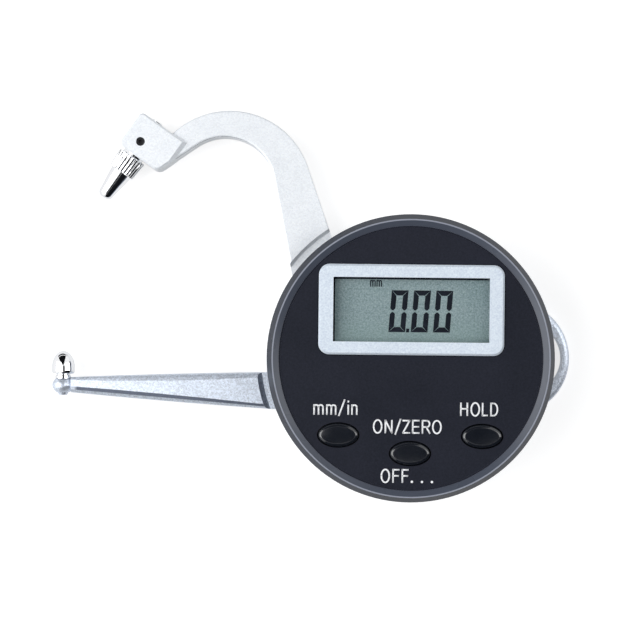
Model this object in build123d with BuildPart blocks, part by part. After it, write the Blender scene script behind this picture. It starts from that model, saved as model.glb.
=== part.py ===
from build123d import *
from math import acos, atan2, cos, degrees, hypot, radians, sin, sqrt
import os

# Digital caliper gauge for wall thickness: a straight arm with an anvil tip is cast in one
# piece with the back of the gauge, and a curved jaw arm swings about the middle of the round
# display case. The gauge lies on its back: +Z leaves the display, +X is the display's right.
# The origin is on the pivot's axis, on the back face. Millimetres and degrees.

os.makedirs("parts", exist_ok=True)

# Stack of the gauge, from the back face at z = 0
plate_thickness = 3.0
slide_gap = 0.12
tab_thickness = 3.06
case_depth = 11.7
tab_bottom = plate_thickness + slide_gap
tab_top = tab_bottom + tab_thickness
module_back = tab_top + slide_gap
case_front = module_back + case_depth

# Round case
case_radius = 30.24
case_wall = 2.04
rim_crest_width = 0.25
rim_flank_width = 1.09
rim_flank_height = 1.8
rim_bevel_width = 1.2
rim_bevel_drop = 0.6
face_drop = 0.8
face_thickness = 1.2
face_groove = 0.35
ledge_width = 1.05
ledge_thickness = 1.0
face_top = case_front - face_drop
face_bottom = face_top - face_thickness
case_bore = case_radius - case_wall
recess_radius = case_radius - rim_flank_width - rim_crest_width - rim_bevel_width
face_radius = recess_radius - face_groove
ledge_radius = recess_radius - ledge_width

# Back casting: dish, straight arm and loop
frame_step = 1.24
frame_radius = case_radius - frame_step
frame_wall = 1.8
frame_edge = 0.5
loop_radius = 12.3
loop_overhang = 4.76
loop_reach = case_radius + loop_overhang
loop_hole_radius = 7.36
loop_rim = 1.54
loop_thickness = 4.0
loop_rounding = 1.1
loop_place = (loop_reach - loop_radius, 0)
loop_hole_place = (loop_reach - loop_rim - loop_hole_radius, 0)

# Contact of the two tips
tip_height = 4.5
contact_radius = 74.34
jaw_travel = 26.5
anvil_contact_y = 0.65
anvil_setting = 0.12
closing_gap = 0.08
contact_x = -sqrt(contact_radius**2 - anvil_contact_y**2)
anvil_x = contact_x - anvil_setting
anvil_angle = degrees(atan2(anvil_contact_y, contact_x))
jaw_tip_angle = anvil_angle - jaw_travel - closing_gap
jaw_tip_heading = 235.0

# Both arms
arm_thickness = 6.0
arm_face = tip_height + arm_thickness / 2
arm_back = tip_height - arm_thickness / 2
frame_step_radius = case_radius + 1.45
frame_step_width = 1.15
jaw_step_radius = case_radius + 1.6
jaw_step_width = 0.65

# Straight arm: place along X, upper and lower edge, thickness, rounding of the front edges
arm_back_bevel = 0.6
arm_root_depth = 3.5
arm_end_overlap = 0.5
arm_edge_facets = 3
eye_radius = 2.31
eye_top_radius = 1.8
eye_foot_radius = 1.45
eye_length = 2.81
arm_sections = (
    (anvil_x + eye_radius - arm_end_overlap, -5.05, -8.33, 3.5, 0.55, 1.40),
    (-50.0, -4.12, -10.12, 5.0, 1.35, 1.53),
    (arm_root_depth - frame_radius, -3.50, -11.60, arm_thickness, 0.60, 0.70),
)
eye_nub_radius = 1.2
eye_nub_length = 0.58

# Anvil tip on the straight arm
anvil_radius = 2.55
anvil_dome_length = 3.2
anvil_length = 4.95
anvil_flat_count = 10
anvil_flat_distance = 2.38
anvil_flat_turn = 5.0
anvil_base_bevel = 0.35
anvil_neck_radius = 1.68
anvil_neck_length = 1.19
anvil_stem_radius = 1.2
anvil_stem_length = 2.2
eye_top = anvil_contact_y - anvil_length - anvil_neck_length

# Curved jaw arm
outer_bend_centre = (-38.75, 34.84)
outer_bend_radius = 17.73
inner_bend_centre = (-39.89, 36.32)
inner_bend_radius = 10.67
outer_bend_end = 133.0
jaw_root_outer_angle = 123.35
jaw_root_inner_angle = 146.0
open_stop_angle = 2.6
closed_stop_angle = 3.6
jaw_edge_rounding = 0.4
tab_back_gap = 0.5
hub_radius = 7.0
block_thickness = 8.0
block_left = -3.55
block_foot = 6.55
block_right = 7.35
block_length = 8.5
block_edge = 0.4
shoulder_width = 0.85

# Jaw tip with its knurled collar
tip_end_radius = 1.68
tip_end_rounding = 1.2
tip_cone_radius = 2.42
tip_cone_length = 6.65
collar_front_radius = 2.9
collar_radius = 3.18
collar_length = 4.2
collar_bevel = 0.25
collar_gap = 0.45
collar_neck_radius = 2.4
flute_count = 22
flute_depth = 0.28
tip_stem_radius = 1.25
tip_stem_proud = 0.35
tip_stem_bevel = 0.15
block_start = tip_cone_length + collar_length + collar_gap
block_end = block_start + block_length
set_screw_offset = 3.1
set_screw_station = block_start + set_screw_offset
set_screw_radius = 0.95
set_screw_recess = 0.5
set_screw_bite = 0.5
set_screw_socket = 1.0
set_screw_key = 0.9
toe_rounding = 1.6
block_rounds = (
    (block_left, block_start, 1.1),
    (block_foot, block_start, toe_rounding),
    (block_left, block_end, 1.0),
)

# Pivot
journal_radius = 2.5
running_clearance = 0.05
shaft_radius = 3.0
shaft_flat = 2.65
bush_radius = 4.0
rear_bush_skin = 1.0
front_bush_rise = 2.7
bush_flange_radius = 5.2
bush_flange = 0.3
boss_wall = 2.0
shaft_end_gap = 0.1
washer_recess_radius = 6.3
washer_recess = 0.6
washer_outer = 6.0
washer_inner = 3.2
washer_thickness = 0.25
washer_gap = 0.05
rotor_radius = 11.0
rotor_thickness = 0.6
rotor_bore = 1.8
rotor_gap = 0.3
rotor_window_count = 12
rotor_window_circle = 7.9
rotor_window_length = 3.7
rotor_window_width = 1.8
rotor_screw_head_radius = 2.2
rotor_screw_head = 0.9
rotor_screw_radius = 0.8
rotor_screw_length = 2.2

# Electronic module
base_thickness = 1.7
base_clearance = 0.2
board_height = 4.2
board_back = module_back + board_height
board_thickness = 1.2
board_clearance = 2.6
board_top = board_back + board_thickness
board_radius = case_bore - board_clearance
base_top = module_back + base_thickness
board_hole_radius = 3.2
post_inset = 3.7
post_circle = case_bore - post_inset
post_radius = 2.6
post_clearance = 0.4
post_angles = (90, 210, 330)
frame_post_radius = 3.2
standoff_radius = 2.0
upper_standoff_inset = 5.1
upper_standoff_angle = 20.0
lower_standoff_inset = 7.2
lower_standoff_angle = -12.4

# Display
display_rim_gap = 0.84
frame_width = 38.85
frame_height = 18.95
frame_corner = 1.6
frame_corner_radius = 2.3
frame_proud = 0.65
frame_bevel = 0.4
window_width = 32.75
window_height = 13.5
skirt_inset = 0.95
skirt_depth = 2.2
skirt_wall = 0.85
fit_clearance = 0.15
window_thickness = 0.9
window_setback = 0.6
window_gap = 0.3
glass_thickness = 0.8
contact_ledge = 1.8
strip_width = 1.4

# Keys
side_key_inset = 5.26
side_key_angle = 42.95
zero_key_inset = 7.45
key_hole = (4.45, 2.68)
key_clearance = 0.22
key_proud = 0.5
key_bevel = 0.45
key_flange = 0.35
key_flange_thickness = 0.75
key_lift = 0.3
key_travel = 0.4
key_nib_radius = 1.2
dome_radius = 3.0
dome_crown_radius = 1.4
dome_height = 0.45
dome_gap = 0.05
chip_place = (0, -7.5)
chip_radius = 4.2
chip_crown_radius = 3.2
chip_height = 1.5

# Screws
screw_head_radius = 2.2
screw_head_height = 1.4
screw_recess = 0.3
screw_radius = 1.15
screw_hole_radius = 1.3
screw_length = 12.0
head_clearance = 0.2
drive_width = 0.55
drive_length = 2.4
drive_depth = 0.7
board_screw_head_radius = 1.5
board_screw_head = 0.9
board_screw_radius = 0.7
board_screw_length = 3.2
board_drive_depth = 0.5

# Coin cell and its cap in the back
cell_radius = 5.8
cell_height = 5.4
cell_pole_radius = 4.7
cell_pole_height = 0.4
cell_floor_gap = 0.1
cell_bevel = 0.3
leaf_thickness = 0.2
leaf_width = 2.0
spring_reach = 4.6
spring_pad = 0.8
clip_foot = 1.8
clip_foot_gap = 0.3
cell_well_radius = 6.3
collar_outer_radius = 9.3
hub_clearance = 0.7
cell_place = (0, -hub_radius - hub_clearance - collar_outer_radius)
cap_radius = 8.0
cap_clearance = 0.2
cap_recess = 0.15
cap_head = 1.15
cap_play = 0.05
cap_bevel = 0.3
skirt_inner_radius = 6.05
skirt_outer_radius = 6.6
lug_radius = 7.5
lug_thickness = 0.8
lug_half_angle = 14.0
notch_extra_angle = 4.0
cap_turn = 90.0
cap_fit = 0.08
cap_ledge = 1.15
groove_play = 0.1
coin_slot_length = 9.5
coin_slot_width = 1.6
coin_slot_depth = 0.7


def polar(radius, angle):
    """Point at a radius and an angle from +X about the pivot."""
    return (radius * cos(radians(angle)), radius * sin(radians(angle)))


def tangent_point(point, centre, radius, side):
    """Where a line from a point touches a circle, on its left (+1) or right (-1) as seen."""
    dx = point[0] - centre[0]
    dy = point[1] - centre[1]
    turn = acos(radius / hypot(dx, dy))
    angle = atan2(dy, dx) + side * turn
    return (centre[0] + radius * cos(angle), centre[1] + radius * sin(angle))


def disc(bottom, top, radius, places=((0, 0),), mode=Mode.ADD):
    """Straight round discs, posts or holes between two heights."""
    with BuildSketch(Plane.XY.offset(bottom)) as outline:
        with Locations(*places):
            Circle(radius)
    extrude(outline.sketch, amount=top - bottom, mode=mode)


def upright(place):
    """Plane of a turned profile: X is the radius and Y the height, on a vertical axis."""
    return Plane(origin=(place[0], place[1], 0), x_dir=(1, 0, 0), z_dir=(0, -1, 0))


def turned(points, place=(0, 0), mode=Mode.ADD):
    """Solid turned about a vertical axis from points of radius and height."""
    with BuildSketch(upright(place)) as profile:
        with BuildLine():
            Polyline(*points, close=True)
        make_face()
    revolve(profile.sketch, axis=Axis((place[0], place[1], 0), (0, 0, 1)), mode=mode)


def low_mound(base, radius, crown_radius, height, place):
    """Shallow mound with a flat crown."""
    turned(((0, base), (radius, base), (crown_radius, base + height), (0, base + height)), place)


def sector(bottom, top, inner, outer, start, end, place=(0, 0), mode=Mode.ADD):
    """Part of a ring between two angles, with radial ends."""
    with BuildSketch(Plane.XY.offset(bottom)) as outline:
        with BuildLine():
            CenterArc(place, outer, start, end - start)
            CenterArc(place, inner, start, end - start)
            for angle in (start, end):
                near = polar(inner, angle)
                far = polar(outer, angle)
                Line((place[0] + near[0], place[1] + near[1]), (place[0] + far[0], place[1] + far[1]))
        make_face()
    extrude(outline.sketch, amount=top - bottom, mode=mode)


def flatted_disc(bottom, top, radius, flat, mode=Mode.ADD):
    """Disc on the pivot's axis with one flat."""
    with BuildSketch(Plane.XY.offset(bottom)) as outline:
        Circle(radius)
        with Locations((0, flat)):
            Rectangle(
                2 * radius, radius, align=(Align.CENTER, Align.MIN), mode=Mode.SUBTRACT
            )
    extrude(outline.sketch, amount=top - bottom, mode=mode)


def cross_recess(bottom, top, places):
    """Cross recesses in screw heads."""
    with BuildSketch(Plane.XY.offset(bottom)) as outline:
        with Locations(*places):
            Rectangle(drive_length, drive_width)
            Rectangle(drive_width, drive_length)
    extrude(outline.sketch, amount=top - bottom, mode=Mode.SUBTRACT)


def ring_ellipse(bottom, top, radii, place, mode=Mode.ADD):
    """Straight oval prism."""
    with BuildSketch(Plane.XY.offset(bottom)) as outline:
        with Locations(place):
            Ellipse(*radii)
    extrude(outline.sketch, amount=top - bottom, mode=mode)


def framed_block(bottom, top, width, height, mode=Mode.ADD):
    """Rectangular prism centred on the display."""
    with BuildSketch(Plane.XY.offset(bottom)) as outline:
        with Locations(display_place):
            Rectangle(width, height)
    extrude(outline.sketch, amount=top - bottom, mode=mode)


def edge_points(corner, inward, rounding, facets):
    """Points of a rounded edge in a section, from the side wall up to the face."""
    points = []
    for number in range(facets + 1):
        turn = radians(90 * number / facets)
        across = corner[0] + inward * rounding * (1 - cos(turn))
        points.append((across, corner[1] - rounding * (1 - sin(turn))))
    return points


def finish_piece(piece, name):
    """Label a finished piece and write its file."""
    piece.part.label = name
    export_step(piece.part, f"parts/{name}.step")


post_places = [polar(post_circle, angle) for angle in post_angles]
standoff_places = [
    polar(case_bore - upper_standoff_inset, upper_standoff_angle),
    polar(case_bore - upper_standoff_inset, 180 - upper_standoff_angle),
    polar(case_bore - lower_standoff_inset, 180 - lower_standoff_angle),
    polar(case_bore - lower_standoff_inset, lower_standoff_angle),
]
key_places = {
    "units": polar(face_radius - side_key_inset, 270 - side_key_angle),
    "zero": polar(face_radius - zero_key_inset, 270),
    "hold": polar(face_radius - side_key_inset, 270 + side_key_angle),
}
# The display sits as high as its corners' distance from the rim allows
display_corner = sqrt((face_radius - display_rim_gap) ** 2 - (frame_width / 2) ** 2)
display_place = (0, display_corner + frame_corner - frame_height / 2)

# Frame casting: the loop comes first, because its edges are rounded by themselves
window_start = jaw_root_outer_angle - open_stop_angle
window_end = jaw_root_inner_angle + jaw_travel + closed_stop_angle
cap_head_top = cap_recess + cap_head
cap_seat = cap_head_top + cap_play
ledge_top = cap_seat + cap_ledge
lug_bottom = ledge_top + groove_play
lug_top = lug_bottom + lug_thickness
groove_top = lug_top + 2 * groove_play
groove_radius = lug_radius + cap_clearance

with BuildPart() as frame_casting:
    with BuildSketch():
        with Locations(loop_place):
            Circle(loop_radius)
        with Locations(loop_hole_place):
            Circle(loop_hole_radius, mode=Mode.SUBTRACT)
    extrude(amount=loop_thickness)
    fillet(frame_casting.edges().group_by(Axis.Z)[-1].sort_by(SortBy.RADIUS)[-1], loop_rounding)
    chamfer(frame_casting.edges().group_by(Axis.Z)[0].sort_by(SortBy.RADIUS)[-1], frame_edge)

    for place, upper, lower, thickness, upper_rounding, lower_rounding in arm_sections:
        half = thickness / 2
        upper_edge = edge_points((upper, half), -1, upper_rounding, arm_edge_facets)
        lower_edge = edge_points((lower, half), 1, lower_rounding, arm_edge_facets)
        with BuildSketch(Plane(origin=(place, 0, tip_height), x_dir=(0, 1, 0), z_dir=(1, 0, 0))):
            with BuildLine():
                Polyline(
                    *lower_edge,
                    *reversed(upper_edge),
                    (upper, arm_back_bevel - half),
                    (upper - arm_back_bevel, -half),
                    (lower + arm_back_bevel, -half),
                    (lower, arm_back_bevel - half),
                    close=True,
                )
            make_face()
    loft()

    turned(
        (
            (0, 0),
            (frame_radius - frame_edge, 0),
            (frame_radius, frame_edge),
            (frame_radius, module_back),
            (0, module_back),
        )
    )
    # Hollow of the dish, around the posts, the collar of the cell and the wall of the loop hole
    with BuildSketch(Plane.XY.offset(plate_thickness)):
        Circle(frame_radius - frame_wall)
        with Locations(*post_places):
            Circle(frame_post_radius, mode=Mode.SUBTRACT)
        with Locations(cell_place):
            Circle(collar_outer_radius, mode=Mode.SUBTRACT)
        with Locations(loop_hole_place):
            Circle(loop_hole_radius + frame_wall, mode=Mode.SUBTRACT)
    extrude(amount=case_front, mode=Mode.SUBTRACT)

    # The arm's face steps down before it passes under the case
    turned(
        (
            (0, module_back),
            (frame_step_radius, module_back),
            (frame_step_radius + frame_step_width, arm_face),
            (frame_step_radius + frame_step_width, case_front),
            (0, case_front),
        ),
        mode=Mode.SUBTRACT,
    )
    # Window in the wall for the swinging jaw
    sector(
        plate_thickness,
        module_back,
        frame_radius - 2 * frame_wall,
        frame_radius + frame_wall,
        window_start,
        window_end,
        mode=Mode.SUBTRACT,
    )
    # Loop hole, rear bush, case screws
    disc(0, module_back, loop_hole_radius, [loop_hole_place], Mode.SUBTRACT)
    disc(rear_bush_skin, plate_thickness, bush_radius, mode=Mode.SUBTRACT)
    disc(0, module_back, screw_hole_radius, post_places, Mode.SUBTRACT)
    disc(
        0,
        screw_recess + screw_head_height,
        screw_head_radius + head_clearance,
        post_places,
        Mode.SUBTRACT,
    )
    # Bayonet seat of the battery cap and well of the cell
    disc(0, cap_seat, cap_radius + cap_clearance, [cell_place], Mode.SUBTRACT)
    disc(cap_seat, groove_top, skirt_outer_radius + cap_fit, [cell_place], Mode.SUBTRACT)
    disc(groove_top, module_back, cell_well_radius, [cell_place], Mode.SUBTRACT)
    half_angle = lug_half_angle + notch_extra_angle
    for notch_angle in (0, 180):
        notch_start = notch_angle - half_angle
        notch_end = notch_angle + half_angle
        for bottom, top, end in (
            (cap_seat, ledge_top, notch_end),
            (ledge_top, groove_top, notch_end + cap_turn),
        ):
            sector(
                bottom, top, cell_radius, groove_radius, notch_start, end, cell_place, Mode.SUBTRACT
            )

    # Barrel-shaped eye at the end of the straight arm, with a short nub under it
    eye_plane = Plane(origin=(anvil_x, eye_top, tip_height), x_dir=(1, 0, 0), z_dir=(0, -1, 0))
    with BuildSketch(Plane.XY.offset(tip_height)):
        with BuildLine():
            Spline(
                (anvil_x + eye_top_radius, eye_top),
                (anvil_x + eye_radius, eye_top - 0.45 * eye_length),
                (anvil_x + eye_foot_radius, eye_top - eye_length),
            )
            Polyline(
                (anvil_x + eye_foot_radius, eye_top - eye_length),
                (anvil_x, eye_top - eye_length),
                (anvil_x, eye_top),
                (anvil_x + eye_top_radius, eye_top),
            )
        make_face()
    revolve(axis=Axis((anvil_x, eye_top, tip_height), (0, 1, 0)))
    with BuildSketch(eye_plane.offset(eye_length)):
        Circle(eye_nub_radius)
    extrude(amount=eye_nub_length, taper=30)
    with BuildSketch(eye_plane):
        Circle(anvil_stem_radius)
    extrude(amount=anvil_stem_length, mode=Mode.SUBTRACT)
finish_piece(frame_casting, "frame_casting")

# Anvil tip: a dome over ten flats, on a neck and a stem
with BuildPart() as anvil_tip:
    with BuildSketch(Plane(origin=(anvil_x, anvil_contact_y, tip_height))):
        with BuildLine():
            EllipticalCenterArc(
                (0, -anvil_dome_length), anvil_radius, anvil_dome_length, arc_size=90
            )
            Polyline(
                (0, 0),
                (0, -anvil_length),
                (anvil_radius - anvil_base_bevel, -anvil_length),
                (anvil_radius, anvil_base_bevel - anvil_length),
                (anvil_radius, -anvil_dome_length),
            )
        make_face()
    revolve(axis=Axis((anvil_x, 0, tip_height), (0, 1, 0)))
    base_plane = Plane(
        origin=(anvil_x, anvil_contact_y - anvil_length, tip_height),
        x_dir=(1, 0, 0),
        z_dir=(0, 1, 0),
    )
    with BuildSketch(base_plane):
        RegularPolygon(
            anvil_flat_distance, anvil_flat_count, major_radius=False, rotation=anvil_flat_turn
        )
    extrude(amount=anvil_length, mode=Mode.INTERSECT)
    with BuildSketch(base_plane):
        Circle(anvil_neck_radius)
    extrude(amount=-anvil_neck_length)
    with BuildSketch(base_plane):
        Circle(anvil_stem_radius)
    extrude(amount=-anvil_neck_length - anvil_stem_length)
finish_piece(anvil_tip, "anvil_tip")

# Case shell: round wall with a bevelled rim and a ledge for the face plate
with BuildPart() as case_shell:
    crest_radius = case_radius - rim_flank_width
    turned(
        (
            (case_bore, module_back),
            (case_radius, module_back),
            (case_radius, case_front - rim_flank_height),
            (crest_radius, case_front),
            (crest_radius - rim_crest_width, case_front),
            (recess_radius, case_front - rim_bevel_drop),
            (recess_radius, face_bottom),
            (ledge_radius, face_bottom),
            (ledge_radius, face_bottom - ledge_thickness),
            (case_bore, face_bottom - ledge_thickness),
        )
    )
    disc(base_top, face_bottom, post_radius, post_places)
    for angle in post_angles:
        web = Plane(origin=(*polar(post_circle, angle), base_top), x_dir=(*polar(1, angle), 0))
        with BuildSketch(web):
            Rectangle(
                case_bore - post_circle + case_wall / 2,
                2 * post_radius,
                align=(Align.MIN, Align.CENTER),
            )
        extrude(amount=face_bottom - base_top)
    screw_bore = screw_radius + running_clearance
    disc(base_top, screw_recess + screw_length, screw_bore, post_places, Mode.SUBTRACT)
finish_piece(case_shell, "case_shell")

# Base plate: rear wall of the module
with BuildPart() as base_plate:
    disc(module_back, base_top, case_bore - base_clearance)
    disc(base_top, module_back + front_bush_rise, bush_radius + boss_wall)
    disc(base_top, board_back, standoff_radius, standoff_places)
    disc(module_back, module_back + front_bush_rise, bush_radius, mode=Mode.SUBTRACT)
    disc(module_back, base_top, cell_well_radius, [cell_place], Mode.SUBTRACT)
    disc(module_back, base_top, screw_hole_radius, post_places, Mode.SUBTRACT)
    disc(base_top, board_back, board_screw_radius, standoff_places, Mode.SUBTRACT)
finish_piece(base_plate, "base_plate")

# Face plate with the display opening and three oval key holes
with BuildPart() as face_plate:
    skirt_width = frame_width - 2 * skirt_inset
    skirt_height = frame_height - 2 * skirt_inset
    disc(face_bottom, face_top, face_radius)
    framed_block(
        face_bottom,
        face_top,
        skirt_width + 2 * fit_clearance,
        skirt_height + 2 * fit_clearance,
        Mode.SUBTRACT,
    )
    for place in key_places.values():
        ring_ellipse(face_bottom, face_top, key_hole, place, Mode.SUBTRACT)
finish_piece(face_plate, "face_plate")

# Display frame: a proud flange in front, a skirt that holds the window and the glass
window_top = face_top - window_setback
window_bottom = window_top - window_thickness
with BuildPart() as display_frame:
    with BuildSketch(Plane.XY.offset(face_top)) as flange:
        with Locations(display_place):
            Rectangle(frame_width, frame_height)
        fillet(flange.vertices(), frame_corner_radius)
    extrude(amount=frame_proud)
    chamfer(display_frame.edges().group_by(Axis.Z)[-1], frame_bevel)
    framed_block(face_top - skirt_depth, face_top, skirt_width, skirt_height)
    framed_block(
        face_top - skirt_depth,
        face_top + frame_proud,
        window_width,
        window_height,
        Mode.SUBTRACT,
    )
    framed_block(
        face_top - skirt_depth,
        window_top,
        skirt_width - 2 * skirt_wall,
        skirt_height - 2 * skirt_wall,
        Mode.SUBTRACT,
    )
finish_piece(display_frame, "display_frame")

glass_width = skirt_width - 2 * skirt_wall - 2 * fit_clearance
glass_height = skirt_height - 2 * skirt_wall - 2 * fit_clearance

with BuildPart() as display_window:
    framed_block(window_bottom, window_top, glass_width, glass_height)
finish_piece(display_window, "display_window")

# LCD: the front glass is wider, its bare edges meet the connector strips
lcd_top = window_bottom - window_gap
strip_top = lcd_top - glass_thickness
with BuildPart() as lcd_panel:
    framed_block(strip_top, lcd_top, glass_width, glass_height)
    framed_block(strip_top - glass_thickness, strip_top, glass_width, glass_height - 2 * contact_ledge)
finish_piece(lcd_panel, "lcd_panel")

with BuildPart() as connector_strips:
    strip_offset = glass_height / 2 - strip_width / 2
    with BuildSketch(Plane.XY.offset(board_top)):
        with Locations(display_place):
            with GridLocations(0, 2 * strip_offset, 1, 2):
                Rectangle(window_width, strip_width)
    extrude(amount=strip_top - board_top)
finish_piece(connector_strips, "connector_strips")

# Circuit board, with room for the case posts and the pivot
with BuildPart() as circuit_board:
    disc(board_back, board_top, board_radius)
    disc(board_back, board_top, board_hole_radius, mode=Mode.SUBTRACT)
    disc(board_back, board_top, post_radius + post_clearance, post_places, Mode.SUBTRACT)
    disc(board_back, board_top, board_screw_radius + fit_clearance, standoff_places, Mode.SUBTRACT)
finish_piece(circuit_board, "circuit_board")

with BuildPart() as controller_chip:
    low_mound(board_top, chip_radius, chip_crown_radius, chip_height, chip_place)
finish_piece(controller_chip, "controller_chip")

with BuildPart() as snap_domes:
    for place in key_places.values():
        low_mound(board_top, dome_radius, dome_crown_radius, dome_height, place)
finish_piece(snap_domes, "snap_domes")

# Keys: oval caps with a flange behind the face plate and a nib over the snap dome
nib_bottom = board_top + dome_height + dome_gap + key_travel
flange_top = face_bottom - key_lift
flange_bottom = flange_top - key_flange_thickness
for key_name, place in key_places.items():
    with BuildPart() as key:
        cap_radii = (key_hole[0] - key_clearance, key_hole[1] - key_clearance)
        ring_ellipse(flange_top, face_top + key_proud, cap_radii, place)
        chamfer(key.edges().group_by(Axis.Z)[-1], key_bevel)
        flange_radii = (key_hole[0] + key_flange, key_hole[1] + key_flange)
        ring_ellipse(flange_bottom, flange_top, flange_radii, place)
        disc(nib_bottom, flange_bottom, key_nib_radius, [place])
    finish_piece(key, f"key_{key_name}")

# Pivot bushes
journal_bore = journal_radius + running_clearance
with BuildPart() as rear_bush:
    disc(rear_bush_skin, plate_thickness, bush_radius)
    disc(rear_bush_skin, plate_thickness, journal_bore, mode=Mode.SUBTRACT)
finish_piece(rear_bush, "rear_bush")

bush_top = module_back + front_bush_rise
with BuildPart() as front_bush:
    disc(module_back, bush_top, bush_radius)
    disc(bush_top, bush_top + bush_flange, bush_flange_radius)
    disc(module_back, bush_top + bush_flange, journal_bore, mode=Mode.SUBTRACT)
finish_piece(front_bush, "front_bush")

# Pivot shaft: two journals, a flatted seat for the jaw's hub and a spigot for the rotor
rotor_bottom = board_back - rotor_gap - rotor_thickness
rotor_top = rotor_bottom + rotor_thickness
seat_top = tab_top - washer_recess
with BuildPart() as pivot_shaft:
    flatted_disc(tab_bottom, seat_top, shaft_radius, shaft_flat)
    disc(rear_bush_skin + shaft_end_gap, rotor_bottom, journal_radius)
    disc(rotor_bottom, rotor_top, rotor_bore)
    disc(rotor_top - rotor_screw_length, rotor_top, rotor_screw_radius, mode=Mode.SUBTRACT)
finish_piece(pivot_shaft, "pivot_shaft")

with BuildPart() as spring_washer:
    turned(
        (
            (washer_inner, seat_top),
            (washer_inner, seat_top + washer_thickness),
            (washer_outer, module_back - washer_gap),
            (washer_outer, module_back - washer_gap - washer_thickness),
        )
    )
finish_piece(spring_washer, "spring_washer")

# Encoder rotor: a thin disc with a ring of windows
with BuildPart() as encoder_rotor:
    disc(rotor_bottom, rotor_top, rotor_radius)
    disc(rotor_bottom, rotor_top, rotor_bore, mode=Mode.SUBTRACT)
    with BuildSketch(Plane.XY.offset(rotor_bottom)):
        with PolarLocations(rotor_window_circle, rotor_window_count):
            Rectangle(rotor_window_length, rotor_window_width)
    extrude(amount=rotor_thickness, mode=Mode.SUBTRACT)
finish_piece(encoder_rotor, "encoder_rotor")

with BuildPart() as rotor_screw:
    disc(rotor_top, rotor_top + rotor_screw_head, rotor_screw_head_radius)
    disc(rotor_top - rotor_screw_length, rotor_top, rotor_screw_radius)
    cross_recess(rotor_top + rotor_screw_head - drive_depth, rotor_top + rotor_screw_head, [(0, 0)])
finish_piece(rotor_screw, "rotor_screw")

# Jaw arm: two bends joined by tangent lines, drawn as one outline from the block to the hub
jaw_contact = polar(contact_radius, jaw_tip_angle)
tip_turn = jaw_tip_heading - 270
tip_plane = Plane(
    origin=(*jaw_contact, tip_height),
    x_dir=(*polar(1, tip_turn), 0),
    z_dir=(0, 0, 1),
)
tip_axis = Axis(tip_plane.origin, tip_plane.y_dir)
across_plane = Plane(origin=tip_plane.origin, x_dir=tip_plane.x_dir, z_dir=-tip_plane.y_dir)
root_outer = polar(case_radius, jaw_root_outer_angle)
root_inner = polar(case_radius, jaw_root_inner_angle)
hub_outer = tangent_point(root_outer, (0, 0), hub_radius, -1)
hub_inner = tangent_point(root_inner, (0, 0), hub_radius, 1)
bend_start = tangent_point(root_outer, outer_bend_centre, outer_bend_radius, 1)
bend_end = (
    outer_bend_centre[0] + outer_bend_radius * cos(radians(outer_bend_end)),
    outer_bend_centre[1] + outer_bend_radius * sin(radians(outer_bend_end)),
)
block_toe = tip_plane.from_local_coords((block_foot, block_start))
toe = (block_toe.X, block_toe.Y)
block_middle = tip_plane.from_local_coords((block_foot / 2, block_start + block_length / 2))
middle = (block_middle.X, block_middle.Y)
inner_start = tangent_point(toe, inner_bend_centre, inner_bend_radius, -1)
inner_end = tangent_point(root_inner, inner_bend_centre, inner_bend_radius, 1)


def bend(start, end, centre, radius):
    """Shorter arc of a bend between two points on its circle."""
    middle_x = (start[0] + end[0]) / 2 - centre[0]
    middle_y = (start[1] + end[1]) / 2 - centre[1]
    grow = radius / hypot(middle_x, middle_y)
    return ThreePointArc(start, (centre[0] + grow * middle_x, centre[1] + grow * middle_y), end)


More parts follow.
